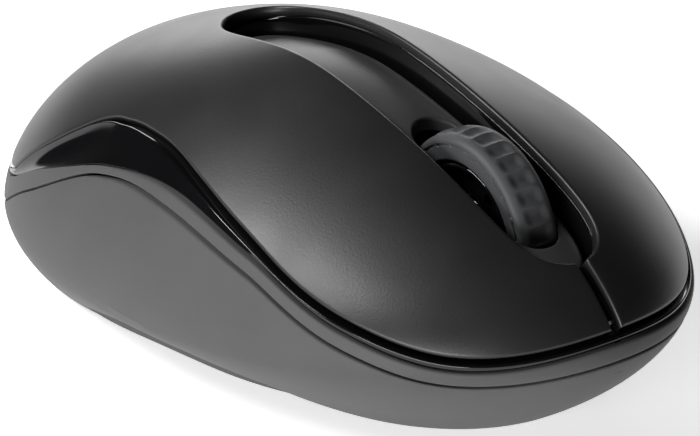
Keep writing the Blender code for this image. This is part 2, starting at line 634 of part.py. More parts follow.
def build():
    for obj in list(bpy.data.objects):
        bpy.data.objects.remove(obj)

    matte = material("cover_plastic", (0.030, 0.031, 0.033), 0.48)
    gloss = material("gloss_plastic", (0.006, 0.006, 0.007), 0.12)
    grey = material("base_plastic", (0.16, 0.16, 0.165), 0.55)
    rubber = material("tyre_rubber", (0.08, 0.08, 0.085), 0.7)
    steel = material("steel", (0.55, 0.56, 0.58), 0.3, 1.0)
    board = material("board_laminate", (0.02, 0.13, 0.06), 0.45)
    chip = material("chip_resin", (0.02, 0.02, 0.022), 0.4)
    white = material("white_nylon", (0.75, 0.75, 0.72), 0.4)
    clear = material("lens_polycarbonate", (0.80, 0.84, 0.86), 0.1)
    slick = material("foot_ptfe", (0.62, 0.63, 0.64), 0.35)
    jacket = material("cell_jacket", (0.12, 0.22, 0.36), 0.35)

    add("base_shell", base_shell(), grey)
    half = CLEAR / 2
    belt = band(lambda a: parting(a) + half, lambda a: trim_edge(a) - half, WALL)
    trim = band(lambda a: trim_edge(a) + half, lambda a: cover_edge(a) - press_gap(a), WALL)
    add("belt_frame", belt, grey)
    add("gloss_trim", trim, gloss)
    add("palm_cover", palm_cover(), matte)
    flex = (0, FLEX_Y, FLEX_Z)
    add("left_button", click_plate(1), matte, flex)
    add("right_button", click_plate(-1), matte, flex)
    add("nose_divider", nose_divider(), gloss)
    add("centre_tray", centre_tray(), gloss)
    add("centre_spine", centre_spine(), matte)

    centre = (0, WHEEL_Y, WHEEL_Z)
    add("wheel_tyre", tyre(), rubber, centre)
    add("wheel_hub", hub(), gloss, centre)
    add("wheel_axle", rod(centre, "x", AXLE_RADIUS, -AXLE_HALF, AXLE_HALF), steel, centre)
    add("wheel_carrier", wheel_carrier(), white, (0, CARRIER_Y, PIVOT_Z))
    add("carrier_spring", coil((-6.0, TACT_Y, PART_LOW), "z", (1.5, 1.5), 9.2, 5, 0.25), steel)

    add("main_board", main_board(), board)
    for side, name in ((1, "left"), (-1, "right")):
        x, y = side * PUSHER_X, -22.3
        body = box((x - 3, y - 6.2, PART_LOW), (x + 3, y + 6.2, 11.2))
        add(name + "_switch", body, chip)
        cap = box((x - 0.9, PUSHER_Y - 0.7, 11.6), (x + 0.9, PUSHER_Y + 0.7, 12.4))
        add(name + "_plunger", cap, white, (x, PUSHER_Y, 11.6))
    tact = box((TACT_X - 1.9, TACT_Y - 2.2, PART_LOW), (TACT_X + 2.5, TACT_Y + 2.2, 8.1))
    add("middle_switch", tact, chip)
    add("middle_plunger", rod((TACT_X, TACT_Y, 0), "z", 1.2, 8.6, 9.7, 20), white, (TACT_X, TACT_Y, 8.6))
    for side, name in ((1, "wheel_emitter"), (-1, "wheel_detector")):
        near, far = sorted((side * 4.5, side * 6.0))
        body = box((near, WHEEL_Y - 1.7, PART_LOW), (far, WHEEL_Y + 1.7, 14.6))
        eye = rod((0, WHEEL_Y, 13.6), "x", 0.8, *sorted((side * 3.8, side * 5.0)), 16)
        add(name, shaped(body, ("UNION", eye)), clear if side == 1 else chip)

    add("sensor_chip", box((-3.6, -13.5, PART_LOW), (3.6, -8.6, 7.3)), chip)
    dome_led = [(PART_LOW, 1.3), (7.2, 1.3), (8.2, 0.9), (8.6, 0.4)]
    add("sensor_led", lathe((5.4, -12.1, 0), "z", dome_led, 20), clear)
    lens = shaped(
        box((-3.6, SENSOR_Y - 2.8, 1.2), (3.6, SENSOR_Y + 2.8, 3.25)),
        ("DIFFERENCE", rod((0, SENSOR_Y, 0), "z", 1.2, 0, 2.0, 20)),
    )
    add("sensor_lens", lens, clear)
    add("controller_chip", box((-15.3, -14.6, PART_LOW), (-10.3, -9.6, 6.2)), chip)
    add("capacitor", lathe((12.6, -12.0, 0), "z", [(PART_LOW, 2), (9.3, 2), (9.6, 1.7)], 24), steel)

    add("battery_bay", battery_bay(), chip)
    add("battery_cell", cell(), jacket)
    add("contact_plate", box((-3.4, -6.6, 5.4), (3.4, -6.35, 11.0)), steel)
    add("contact_spring", coil((0, CELL_REAR + 0.3, CELL_Z), "y", (2.0, 3.2), 2.9, 3, 0.3), steel)
    door = battery_door()
    add("battery_door", door, grey, (0, DOOR_FRONT + CLEAR, UNDERSIDE))

    for number, (x, y, straight) in enumerate(FEET, 1):
        add(f"foot_{number}", foot(x, y, straight), slick)
    for number, side in enumerate((-1, 1), 1):
        add(f"case_screw_{number}", screw(side * CASE_SCREW_X, CASE_SCREW_Y, 3.1, 12.4), steel)
        add(f"board_screw_{number}", screw(side * BOARD_SCREW_X, BOARD_SCREW_Y, PART_LOW, 2.0), steel)
    body = box((POWER_X - 3.2, POWER_Y - 3.8, 2.95), (POWER_X + 3.0, POWER_Y + 7.2, 5.4))
    add("power_switch", body, chip)
    add("power_slider", power_slider(), white, (POWER_X, POWER_Y, 1.1))


build()
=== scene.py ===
"""Looks of a compact cordless mouse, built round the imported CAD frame.

Shapes are drawn in millimetres about the middle of the footprint, with the nose toward -Y, and are
scaled to metres once, where each mesh is made. Angles run round the body from the nose: 0 is -Y, +90 is
+X and 180 is the tail.
"""

import json
import math

import bmesh
import bpy
import numpy as np
from mathutils import Matrix, Vector
from mathutils.kdtree import KDTree

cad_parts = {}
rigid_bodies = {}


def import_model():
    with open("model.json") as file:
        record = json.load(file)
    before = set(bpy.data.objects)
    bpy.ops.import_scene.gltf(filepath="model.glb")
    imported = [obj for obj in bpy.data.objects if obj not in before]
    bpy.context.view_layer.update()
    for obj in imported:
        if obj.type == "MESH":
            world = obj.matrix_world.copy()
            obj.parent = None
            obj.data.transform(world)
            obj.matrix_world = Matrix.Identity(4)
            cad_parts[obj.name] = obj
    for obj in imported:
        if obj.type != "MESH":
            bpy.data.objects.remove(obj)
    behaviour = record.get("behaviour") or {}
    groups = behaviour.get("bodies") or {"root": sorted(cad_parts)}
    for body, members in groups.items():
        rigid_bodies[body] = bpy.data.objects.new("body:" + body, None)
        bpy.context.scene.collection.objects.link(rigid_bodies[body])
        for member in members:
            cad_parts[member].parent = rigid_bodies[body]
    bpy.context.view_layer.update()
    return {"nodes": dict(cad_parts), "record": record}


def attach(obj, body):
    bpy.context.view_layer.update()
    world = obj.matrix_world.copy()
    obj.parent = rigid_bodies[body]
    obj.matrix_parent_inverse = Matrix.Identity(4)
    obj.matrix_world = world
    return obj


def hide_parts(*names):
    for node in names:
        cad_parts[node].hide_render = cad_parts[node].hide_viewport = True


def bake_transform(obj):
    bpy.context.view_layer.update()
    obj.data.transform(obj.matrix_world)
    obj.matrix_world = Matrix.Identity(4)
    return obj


MM = 0.001
FULL = 2 * math.pi

# ---- The CAD's driving sizes, mm
LENGTH, WIDTH = 95.0, 62.6
OUTLINE_POWER = 1.94
OUTLINE_EGG, OUTLINE_FLARE = -0.014, -0.005
EQUATOR_NOSE, EQUATOR_TAIL = 13.3, 4.5
DOME_HEIGHT = (24.1, 2.8, 4.0, 0.5)
DOME_PLAN_POWER, DOME_RISE_POWER = 1.254, 1.714
UNDERSIDE = 0.8
WALL_POWER = 1.543
WALL, CLEAR = 2.2, 0.3
TUCK_STATIONS = ((0, 12.5), (30, 10.8), (60, 10.9), (90, 11.6), (120, 5.3), (150, 2.3), (180, 3.5))
COVER_EDGE_STATIONS = (
    (0, 16.2), (22, 14.8), (38, 16.7), (58, 20.3), (74, 22.0), (90, 22.95), (104, 23.3),
    (116, 23.08), (126, 22.4), (134, 20.7), (140, 15.6), (146, 10.0), (160, 8.1), (180, 7.5),
)
TRIM_EDGE_STATIONS = (
    (0, 14.8), (22, 13.2), (38, 15.2), (58, 18.9), (90, 20.7),
    (118, 18.7), (134, 14.2), (146, 8.9), (160, 6.5), (180, 5.9),
)
PARTING_STATIONS = (
    (0, 12.9), (22, 11.5), (38, 13.6), (58, 17.6), (90, 19.5),
    (118, 17.7), (134, 11.3), (146, 5.8), (160, 4.7), (180, 4.4),
)
PRESS_GAP_STATIONS = ((0, 0.75), (90, 0.75), (120, 0.65), (150, 0.6), (180, 0.45))
OPENING_FRONT, OPENING_REAR, OPENING_HALF = -40.3, 19.7, 5.5
OPENING_POWER = 10.0
SLOT_HALF = 0.6
FLEX_Y = 8.0
WHEEL_Y, WHEEL_Z = -23.5, 18.9
TYRE_RADIUS, TYRE_HALF, TYRE_INNER = 10.8, 2.5, 7.8
HUB_RADIUS, HUB_HALF = 7.5, 2.2
HUB_HOLE_AT = 4.8
WHEEL_SLOT_FRONT, WHEEL_SLOT_REAR, WHEEL_SLOT_HALF = -35.0, -13.2, 3.15
CARRIER_Y = -8.0
SENSOR_Y = -11.1
DOOR_HALF, DOOR_FRONT, DOOR_TOP = 11.0, 4.0, 2.6
CASE_SCREW_X, CASE_SCREW_Y = 14.6, 18.0
BOARD_SCREW_X, BOARD_SCREW_Y = 17.6, -12.6
POWER_X, POWER_Y = -16.0, 0.3
FLOOR_TOP = 2.6

# ---- Finer shapes, mm
COVER_THICK = 1.3
COVER_ROUND = 0.38
RING_ROUND = 0.25
RING_SEGMENTS = 540
FOOT_ROUND = 0.45
SPINE_DROP, SPINE_CROWN, SPINE_HALF, SPINE_DEPTH = 2.55, 0.7, 4.15, 1.5
WHEEL_SLOT_POWER = 5.5
LUGS, LUG_DEPTH = 32, 0.42
DASHES, DASH_DEPTH, DASH_BELOW_CROWN = 24, 0.16, 1.25
SHOULDER_FOOT = 0.32
SCREW_WELL = [(-1, 2.8), (0.8, 2.8), (1.1, 2.5), (3.4, 2.5), (3.4, 1.2), (6, 1.2)]

# ---- Scene, in metres and radians
EDGE_ROUND, EDGE_ANGLE = 0.00008, math.radians(40)
FLOOR_REACH = 3.0
LIGHTS_AIM = Vector((0, 0, 0.015))
BRIGHT_AZIMUTH = math.radians(35)
CAMERA_AZIMUTH, CAMERA_ELEVATION = math.radians(-37.19), math.radians(27.28)
CAMERA_AIM, CAMERA_DISTANCE = Vector((0, 0, 0.016)), 0.7
CAMERA_RIGHT, CAMERA_DOWN = 0.000324, 0.005232


# ---- Curves and surfaces
def even_curve(stations):
    """A smooth curve through the stations, flat at the nose and the tail."""
    at = np.radians([degrees for degrees, _ in stations])
    value = np.array([height for _, height in stations], float)
    slope = np.zeros(len(value))
    slope[1:-1] = (value[2:] - value[:-2]) / (at[2:] - at[:-2])

    def curve(angle):
        a = np.abs((np.asarray(angle, float) + math.pi) % FULL - math.pi)
        i = np.clip(np.searchsorted(at, a, side="right") - 1, 0, len(at) - 2)
        width = at[i + 1] - at[i]
        t = (a - at[i]) / width
        near = (1 + 2 * t) * (1 - t) ** 2 * value[i] + t * (1 - t) ** 2 * width * slope[i]
        far = t * t * (3 - 2 * t) * value[i + 1] + t * t * (t - 1) * width * slope[i + 1]
        return near + far

    return curve


tuck = even_curve(TUCK_STATIONS)
cover_edge = even_curve(COVER_EDGE_STATIONS)
trim_edge = even_curve(TRIM_EDGE_STATIONS)
parting = even_curve(PARTING_STATIONS)
press_gap = even_curve(PRESS_GAP_STATIONS)


def plan_radius(angle):
    c, s = np.abs(np.cos(angle)), np.abs(np.sin(angle))
    power = OUTLINE_POWER
    round_body = ((2 * c / LENGTH) ** power + (2 * s / WIDTH) ** power) ** (-1 / power)
    egg = OUTLINE_EGG * (np.cos(angle) - np.cos(3 * angle))
    flare = OUTLINE_FLARE * (np.cos(3 * angle) - np.cos(5 * angle))
    return round_body * (1 + egg + flare)


def equator(y):
    return (EQUATOR_NOSE + EQUATOR_TAIL) / 2 - (EQUATOR_NOSE - EQUATOR_TAIL) * y / LENGTH


def dome(x, y):
    """Height of the body's top surface over a point of the plan."""
    share = np.hypot(x, y) / plan_radius(np.arctan2(x, -y))
    u = 2 * y / LENGTH
    rise = sum(c * u**i for i, c in enumerate(DOME_HEIGHT))
    fall = np.clip(1 - share**DOME_PLAN_POWER, 0, 1) ** (1 / DOME_RISE_POWER)
    return equator(y) + rise * fall


def body_radius(angle, z):
    """Plan radius of the body's skin at a height, over the equator or under it."""
    angle, z = np.broadcast_arrays(np.asarray(angle, float), np.asarray(z, float))
    full = plan_radius(angle)
    level = equator(-full * np.cos(angle))
    low, high = np.zeros_like(full), np.ones_like(full)
    for _ in range(34):
        middle = (low + high) / 2
        r = full * middle
        above = dome(r * np.sin(angle), -r * np.cos(angle)) > z
        low, high = np.where(above, middle, low), np.where(above, high, middle)
    depth = np.clip((level - z) / (level - UNDERSIDE), 0, 1)
    return np.where(z > level, full * low, full - tuck(angle) * depth**WALL_POWER)


def skin(angle, z, depth=0.0):
    """A point of the body's skin, moved level toward the middle by depth."""
    angle, z = np.broadcast_arrays(np.asarray(angle, float), np.asarray(z, float))
    r = body_radius(angle, z) - depth
    return np.stack([r * np.sin(angle), -r * np.cos(angle), z], -1)


def dome_normal(x, y):
    step = 0.02
    across = (dome(x + step, y) - dome(x - step, y)) / (2 * step)
    along = (dome(x, y + step) - dome(x, y - step)) / (2 * step)
    normal = np.stack([-across, -along, np.ones_like(x)], -1)
    return normal / np.linalg.norm(normal, axis=-1, keepdims=True)


def rim_height(y):
    """Height of the cover along the sides of the top opening."""
    return dome(np.full_like(np.asarray(y, float), OPENING_HALF), y)


# ---- Paths
def path_shares(path):
    """The share of the path's length at each of its points."""
    run = np.concatenate([[0], np.cumsum(np.linalg.norm(np.diff(path, axis=0), axis=1))])
    return run / run[-1]


def at_shares(path, shares):
    """Points of a path at shares of its length."""
    path = np.asarray(path, float)
    run = path_shares(path)
    return np.stack([np.interp(shares, run, path[:, i]) for i in range(path.shape[1])], -1)


def evenly(path, count):
    return at_shares(path, np.linspace(0, 1, count))


def softened(path, reach, pitch=0.05):
    """The path with its corners rounded over about that reach, its ends kept."""
    length = np.linalg.norm(np.diff(path, axis=0), axis=1).sum()
    fine = evenly(path, int(length / pitch) + 1)
    half = int(3 * reach / pitch)
    weight = np.exp(-0.5 * (np.arange(-half, half + 1) * pitch / reach) ** 2)
    weight /= weight.sum()
    before = 2 * fine[0] - fine[half:0:-1]
    after = 2 * fine[-1] - fine[-2:-half - 2:-1]
    padded = np.concatenate([before, fine, after])
    return np.stack([np.convolve(padded[:, i], weight, "valid") for i in range(fine.shape[1])], -1)


def opening_side(front, rear, half, power=OPENING_POWER):
    """The +X half of a long rounded opening, from its front tip to its rear tip."""
    v = -np.cos(np.linspace(0, math.pi, 2001))
    x = half * np.sqrt(np.clip(1 - np.abs(v) ** power, 0, 1))
    return np.stack([x, (front + rear) / 2 + v * (rear - front) / 2], -1)


def opening_loop(front, rear, half, count, power=OPENING_POWER):
    side = evenly(opening_side(front, rear, half, power), count // 2 + 1)
    return np.concatenate([side[:-1], (side * [-1, 1])[:0:-1]])


def cover_outline(start, end, count):
    angle = np.linspace(start, end, count)
    return skin(angle, cover_edge(angle))[:, :2]


def outline_angle(y):
    """The angle on the +X side at which the cover's edge reaches y."""
    low, high = math.radians(20), math.radians(160)
    for _ in range(40):
        middle = (low + high) / 2
        here = skin(middle, cover_edge(middle))[..., 1]
        low, high = (middle, high) if here < y else (low, middle)
    return low


def graded(first, most, both=True, growth=1.35):
    """Shares from 0 to 1 whose steps grow from first to most, and shrink again if both."""
    steps = [first]
    limit = 0.5 if both else 1.0
    while sum(steps) < limit:
        steps.append(min(steps[-1] * growth, most))
    run = np.concatenate([[0], np.cumsum(steps)])
    run *= limit / run[-1]
    return np.concatenate([run, (1 - run)[-2::-1]]) if both else run


# ---- Meshes
def grid_quads(rows, columns, wrap=False, start=0):
    """Quads over a grid of points, facing the way of rows crossed with columns."""
    i = np.arange(rows - 1)[:, None]
    j = np.arange(columns if wrap else columns - 1)[None]
    a, b = i * columns + j, i * columns + (j + 1) % columns
    return (np.stack([a, a + columns, b + columns, b], -1).reshape(-1, 4) + start).tolist()


def mesh_of(name, points, faces, turn_out=True):
    mesh = bpy.data.meshes.new(name)
    mesh.from_pydata((np.asarray(points, float) * MM).tolist(), [], faces)
    if turn_out:
        bm = bmesh.new()
        bm.from_mesh(mesh)
        bmesh.ops.remove_doubles(bm, verts=bm.verts, dist=1e-7)
        bmesh.ops.recalc_face_normals(bm, faces=bm.faces)
        bm.to_mesh(mesh)
        bm.free()
    mesh.update()
    return mesh


def ring_solid(loops):
    """A closed ring from loops that follow its section round; loops is (section, along, 3)."""
    loops = np.asarray(loops)
    wrapped = np.concatenate([loops, loops[:1]])
    return wrapped.reshape(-1, 3), grid_quads(*wrapped.shape[:2], wrap=True)


def capped_solid(loops):
    """A closed body from stacked loops, with flat ends."""
    loops = np.asarray(loops)
    count, length = loops.shape[:2]
    ends = [list(range(length))[::-1], list(range((count - 1) * length, count * length))]
    return loops.reshape(-1, 3), grid_quads(count, length, wrap=True) + ends


def box(low, high):
    (x0, y0, z0), (x1, y1, z1) = low, high
    loop = [(x0, y0), (x1, y0), (x1, y1), (x0, y1)]
    return capped_solid([[(x, y, z) for x, y in loop] for z in (z0, z1)])


def turned(axis, points):
    """Points drawn about Z, turned so that the axis is X or Y."""
    order = {"z": (0, 1, 2), "x": (2, 0, 1), "y": (1, 2, 0)}[axis]
    return np.asarray(points, float)[..., order]


def lathe_loops(centre, axis, profile, count):
    angle = np.linspace(0, FULL, count, endpoint=False)
    loops = [
        np.stack([r * np.cos(angle), r * np.sin(angle), np.full(count, along)], -1)
        for along, r in profile
    ]
    return turned(axis, loops) + np.asarray(centre, float)


def rod(centre, axis, radius, low, high, count=48):
    return capped_solid(lathe_loops(centre, axis, [(low, radius), (high, radius)], count))


def joined(bodies):
    """Several closed bodies as one list of points and faces."""
    points, faces, start = [], [], 0
    for body_points, body_faces in bodies:
        points.append(np.asarray(body_points, float))
        faces += [[start + i for i in face] for face in body_faces]
        start += len(body_points)
    return np.concatenate(points), faces


def shaped(name, body, *steps):
    """The body's mesh after each (operation, bodies) step; the bodies of a step are apart."""
    held = bpy.data.objects.new("shaping", mesh_of(name, *body))
    bpy.context.scene.collection.objects.link(held)
    for operation, bodies in steps:
        tool = bpy.data.objects.new("tool", mesh_of("tool", *joined(bodies)))
        bpy.context.scene.collection.objects.link(tool)
        change = held.modifiers.new("change", "BOOLEAN")
        change.operation, change.solver, change.object = operation, "EXACT", tool
        graph = bpy.context.evaluated_depsgraph_get()
        result = bpy.data.meshes.new_from_object(held.evaluated_get(graph))
        held.modifiers.clear()
        held.data = result
        bpy.data.objects.remove(tool)
    mesh = held.data
    bpy.data.objects.remove(held)
    return mesh


def piece(name, mesh, material, body, replaced=(), sharp=38):
    """A piece that rides on a body and stands for CAD nodes."""
    mesh.name = name
    mesh.materials.clear()
    mesh.materials.append(material)
    mesh.polygons.foreach_set("use_smooth", [True] * len(mesh.polygons))
    if sharp:
        mesh.set_sharp_from_angle(angle=math.radians(sharp))
    obj = bpy.data.objects.new(name, mesh)
    bpy.context.scene.collection.objects.link(obj)
    if body:
        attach(obj, body)
    if replaced:
        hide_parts(*replaced)
    return obj


# ---- Materials
class Nodes:
    """Short ways to add and link nodes in one material."""

    def __init__(self, name):
        self.material = bpy.data.materials.new(name)
        self.material.use_nodes = True
        self.tree = self.material.node_tree
        self.surface = self.tree.nodes["Principled BSDF"]
        self.where = self.tree.nodes.new("ShaderNodeTexCoord").outputs["Object"]

    def add(self, kind, inputs=(), **values):
        node = self.tree.nodes.new(kind)
        for key, value in values.items():
            setattr(node, key, value)
        for key, value in dict(inputs).items():
            self.put(node.inputs[key], value)
        return node

    def put(self, socket, value):
        if isinstance(value, bpy.types.NodeSocket):
            self.tree.links.new(value, socket)
        else:
            socket.default_value = value

    def noise(self, scale, detail=2.0, rough=0.5):
        node = self.add("ShaderNodeTexNoise", {"Vector": self.where, "Scale": scale, "Detail": detail,
                                               "Roughness": rough})
        return node.outputs["Fac"]

    def spread(self, value, low, high):
        node = self.add("ShaderNodeMapRange", {"Value": value, "From Min": 0.25, "From Max": 0.75,
                                               "To Min": low, "To Max": high})
        return node.outputs["Result"]

    def bump(self, height, distance, strength=1.0):
        node = self.add("ShaderNodeBump", {"Height": height, "Distance": distance, "Strength": strength})
        return node.outputs["Normal"]


def plastic(
    name, colour, roughness, grain=0.0, grain_scale=4000,
    wear=0.04, patchy=0.06, metallic=0.0, specular=0.5,
):
    """A moulded surface: fine grain in relief, and slow changes in shade and gloss."""
    n = Nodes(name)
    slow, fine = n.noise(90, 3.0), n.noise(grain_scale, 2.0)
    shade = n.spread(slow, 1 - patchy, 1 + patchy)
    tint = n.add("ShaderNodeMix", {"Factor": 1.0}, data_type="RGBA", blend_type="MULTIPLY")
    n.put(tint.inputs[6], (*colour, 1))
    grey = n.add("ShaderNodeCombineColor", {"Red": shade, "Green": shade, "Blue": shade})
    n.put(tint.inputs[7], grey.outputs["Color"])
    n.put(n.surface.inputs["Base Color"], tint.outputs[2])
    n.put(n.surface.inputs["Roughness"], n.spread(slow, roughness - wear, roughness + wear))
    n.surface.inputs["Metallic"].default_value = metallic
    n.surface.inputs["Specular IOR Level"].default_value = specular
    if grain:
        n.put(n.surface.inputs["Normal"], n.bump(fine, grain * MM))
    n.material.diffuse_color = (*colour, 1)
    return n.material


def make_materials():
    made = {
        "cover_plastic": plastic("cover_plastic", (0.0125, 0.0125, 0.0125), 0.39, 0.012, 3600),
        # The spine's colour is set well lighter than the cover's, partly as painted light: it paints in the
        # brightness that the rear lamp gives the spine.
        "spine_plastic": plastic("spine_plastic", (0.058, 0.057, 0.057), 0.46, 0.012, 3600),
        "gloss_plastic": plastic("gloss_plastic", (0.004, 0.004, 0.0045), 0.09, wear=0.02),
        "base_plastic": plastic("base_plastic", (0.085, 0.084, 0.086), 0.55, 0.014, 3200, specular=0.15),
        "tyre_rubber": plastic("tyre_rubber", (0.058, 0.059, 0.062), 0.6, 0.010, 5200, patchy=0.1),
        "steel": plastic("steel", (0.56, 0.57, 0.59), 0.28, 0.004, 2600, metallic=1.0),
        "board_laminate": plastic("board_laminate", (0.02, 0.13, 0.06), 0.42, 0.006, 2000, patchy=0.15),
        "chip_resin": plastic("chip_resin", (0.02, 0.02, 0.022), 0.42, 0.01, 3000),
        "white_nylon": plastic("white_nylon", (0.72, 0.72, 0.69), 0.42, 0.008, 3000),
        "lens_polycarbonate": plastic("lens_polycarbonate", (0.62, 0.66, 0.68), 0.08, wear=0.02),
        "foot_ptfe": plastic("foot_ptfe", (0.58, 0.59, 0.60), 0.36, 0.008, 2400),
        "cell_jacket": plastic("cell_jacket", (0.12, 0.22, 0.36), 0.3, 0.004, 1500, patchy=0.1),
    }
    lens = made["lens_polycarbonate"].node_tree.nodes["Principled BSDF"]
    lens.inputs["Transmission Weight"].default_value = 0.6
    return made


# ---- Cover
def cover_half(side, material):
    """Half of the one-piece cover, from the slot and the opening to the outer edge, with rounded edges."""
    opening = opening_side(OPENING_FRONT, OPENING_REAR, OPENING_HALF)
    past_slot = opening[opening[:, 0] >= SLOT_HALF]
    flex_row = np.searchsorted(opening[:, 1], FLEX_Y)
    front_side = opening[:flex_row]
    front_side = front_side[front_side[:, 0] >= SLOT_HALF]
    rear_side = opening[flex_row - 1:]
    nose_angle = 0.2
    for _ in range(20):
        nose_angle *= SLOT_HALF / skin(nose_angle, cover_edge(nose_angle))[..., 0]
    nose = skin(nose_angle, cover_edge(nose_angle))[:2]
    slot = np.array([nose, past_slot[0]])
    turn, far = math.radians(34), outline_angle(FLEX_Y)

    # Shares along the whole inner and outer edges: slot, side of the opening, then round its rear.
    slot_share, flex_share = 0.14, 0.5
    u = np.unique(np.round(np.concatenate([
        slot_share * graded(0.003, 0.12),
        slot_share + (flex_share - slot_share) * graded(0.003, 0.02, both=False),
        flex_share + (1 - flex_share) * np.linspace(0, 1, 110),
    ]), 6))
    v = graded(0.0008, 0.03)
    knots = [0, slot_share, flex_share, 1]

    def along(paths, marks):
        """One path with its legs stretched so that each ends on its mark."""
        return np.concatenate([
            at_shares(path, (u[(u > low if low else u >= low) & (u <= high)] - low) / (high - low))
            for path, low, high in zip(paths, marks[:-1], marks[1:])
        ])

    inner = along([slot, front_side, rear_side], knots)
    soft = softened(np.concatenate([slot[:1], front_side, rear_side[1:]]), 0.3)
    inner = at_shares(soft, path_shares(inner))
    outer = along([cover_outline(turn, far, 801), cover_outline(far, math.pi, 801)], [0, flex_share, 1])
    front = at_shares(cover_outline(nose_angle, turn, 401), v)
    back = at_shares(np.array([inner[-1], outer[-1]]), v)
    us, vs = u[:, None, None], v[None, :, None]
    plan = (1 - vs) * inner[:, None] + vs * outer[:, None] + (1 - us) * front[None] + us * back[None]
    plan -= (1 - us) * ((1 - vs) * inner[0] + vs * outer[0]) + us * ((1 - vs) * inner[-1] + vs * outer[-1])
    plan[-1, :, 0] = 0.0
    top = np.concatenate([plan, dome(plan[..., 0], plan[..., 1])[..., None]], -1)
    normal = dome_normal(plan[..., 0], plan[..., 1])
    normal[-1, :, 0] = 0.0

    edge_path = np.concatenate([top[::-1, 0], top[0, 1:], top[1:, -1]])
    away = nearest(top.reshape(-1, 3), edge_path).reshape(top.shape[:2])
    reach = np.clip(1 - away / COVER_ROUND, 0, 1)
    drop = COVER_ROUND * (1 - np.sqrt(1 - reach**2))
    outside = top - normal * drop[..., None]
    inside = top - normal * COVER_THICK

    rows, columns = top.shape[:2]
    size = rows * columns
    faces = [f[::-1] for f in grid_quads(rows, columns)] + grid_quads(rows, columns, start=size)
    rim = [(i, 0) for i in range(rows - 1, 0, -1)] + [(0, j) for j in range(columns)]
    rim += [(i, columns - 1) for i in range(1, rows)]
    for (a, b), (c, d) in zip(rim[:-1], rim[1:]):
        first, second = a * columns + b, c * columns + d
        faces.append([second, first, first + size, second + size])
    points = np.concatenate([outside.reshape(-1, 3), inside.reshape(-1, 3)])
    facing = np.zeros_like(points)
    facing[:size] = grid_normals(outside).reshape(-1, 3)
    seam = np.arange((rows - 1) * columns, size)
    facing[seam, 0] = 0.0
    facing[:size] /= np.linalg.norm(facing[:size], axis=1, keepdims=True)
    if side < 0:
        points, facing = points * [-1, 1, 1], facing * [-1, 1, 1]
        faces = [f[::-1] for f in faces]
    name = "cover_left" if side > 0 else "cover_right"
    mesh = mesh_of(name, points, faces, turn_out=False)
    button = "left_button" if side > 0 else "right_button"
    obj = piece(name, mesh, material, None, (button, "palm_cover"), sharp=45)
    mesh.normals_split_custom_set_from_vertices(facing.tolist())
    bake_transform(obj)
    return obj


def nearest(points, path):
    """Distance from each point to a path, measured to its segments near the closest corner."""
    length = int(np.linalg.norm(np.diff(path, axis=0), axis=1).sum() / 0.2)
    path = at_shares(path, np.unique(np.concatenate([np.linspace(0, 1, length), path_shares(path)])))
    tree = KDTree(len(path))
    for i, place in enumerate(path):
        tree.insert(place, i)
    tree.balance()
    close = np.array([tree.find(point)[1] for point in points])
    found = np.full(len(points), 1e9)
    for shift in (-2, -1, 0, 1):
        i = np.clip(close + shift, 0, len(path) - 2)
        start, step = path[i], path[i + 1] - path[i]
        share = ((points - start) * step).sum(1) / np.maximum((step**2).sum(1), 1e-12)
        spot = start + np.clip(share, 0, 1)[:, None] * step
        found = np.minimum(found, np.linalg.norm(points - spot, axis=1))
    return found


def grid_normals(grid):
    """Normals of a grid of points by differences along its rows and columns."""
    def slopes(axis):
        step = np.gradient(grid, axis=axis)
        return step / np.maximum(np.linalg.norm(step, axis=-1, keepdims=True), 1e-12)

    normal = np.cross(slopes(0), slopes(1))
    normal *= np.sign(normal[..., 2:].mean())
    return normal / np.maximum(np.linalg.norm(normal, axis=-1, keepdims=True), 1e-12)


# ---- Rings round the body
def band(low, high, depth, dish=0.0, lean=0.0):
    """A ring of the skin with rounded outer edges and a slight hollow, its foot set in by lean."""
    angle = np.linspace(0, FULL, RING_SEGMENTS, endpoint=False)
    z0, z1 = low(angle), high(angle)
    height = np.linalg.norm(skin(angle, z1) - skin(angle, z0), axis=-1)
    radius = np.minimum(RING_ROUND, height / 3)
    edge = np.array([0, 0.06, 0.2, 0.42, 0.7, 1.0])
    shares = [e * radius / height for e in edge]
    between = [0.18, 0.35, 0.5, 0.65, 0.82]
    shares += [radius / height + b * (1 - 2 * radius / height) for b in between]
    shares += [1 - e * radius / height for e in edge[::-1]]
    loops = []
    for share in shares:
        s = np.minimum(share, 1 - share) * height
        reach = np.clip(1 - s / radius, 0, 1)
        drop = radius * (1 - np.sqrt(1 - reach**2))
        hollow = dish * height**2 * 4 * share * (1 - share) + lean * (1 - share)
        loops.append(skin(angle, z0 + share * (z1 - z0), drop + hollow))
    for z in (z1, z0):
        loops.append(skin(angle, z, depth))
    return ring_solid(loops)


def base_loops():
    angle = np.linspace(0, FULL, RING_SEGMENTS, endpoint=False)
    top = parting(angle) - CLEAR / 2
    loops = []
    for rise in (0, 0.04, 0.12, 0.26, FOOT_ROUND):
        drop = FOOT_ROUND * (1 - math.sqrt(1 - (1 - rise / FOOT_ROUND) ** 2))
        loops.append(skin(angle, np.full_like(angle, UNDERSIDE + rise), drop))
    start = UNDERSIDE + FOOT_ROUND
    for share in np.linspace(0, 1, 15)[1:-1]:
        loops.append(skin(angle, start + share * (top - RING_ROUND - start)))
    for s in (1.0, 0.7, 0.42, 0.2, 0.06, 0):
        drop = RING_ROUND * (1 - math.sqrt(1 - (1 - s) ** 2))
        loops.append(skin(angle, top - s * RING_ROUND, drop))
    return angle, top, loops


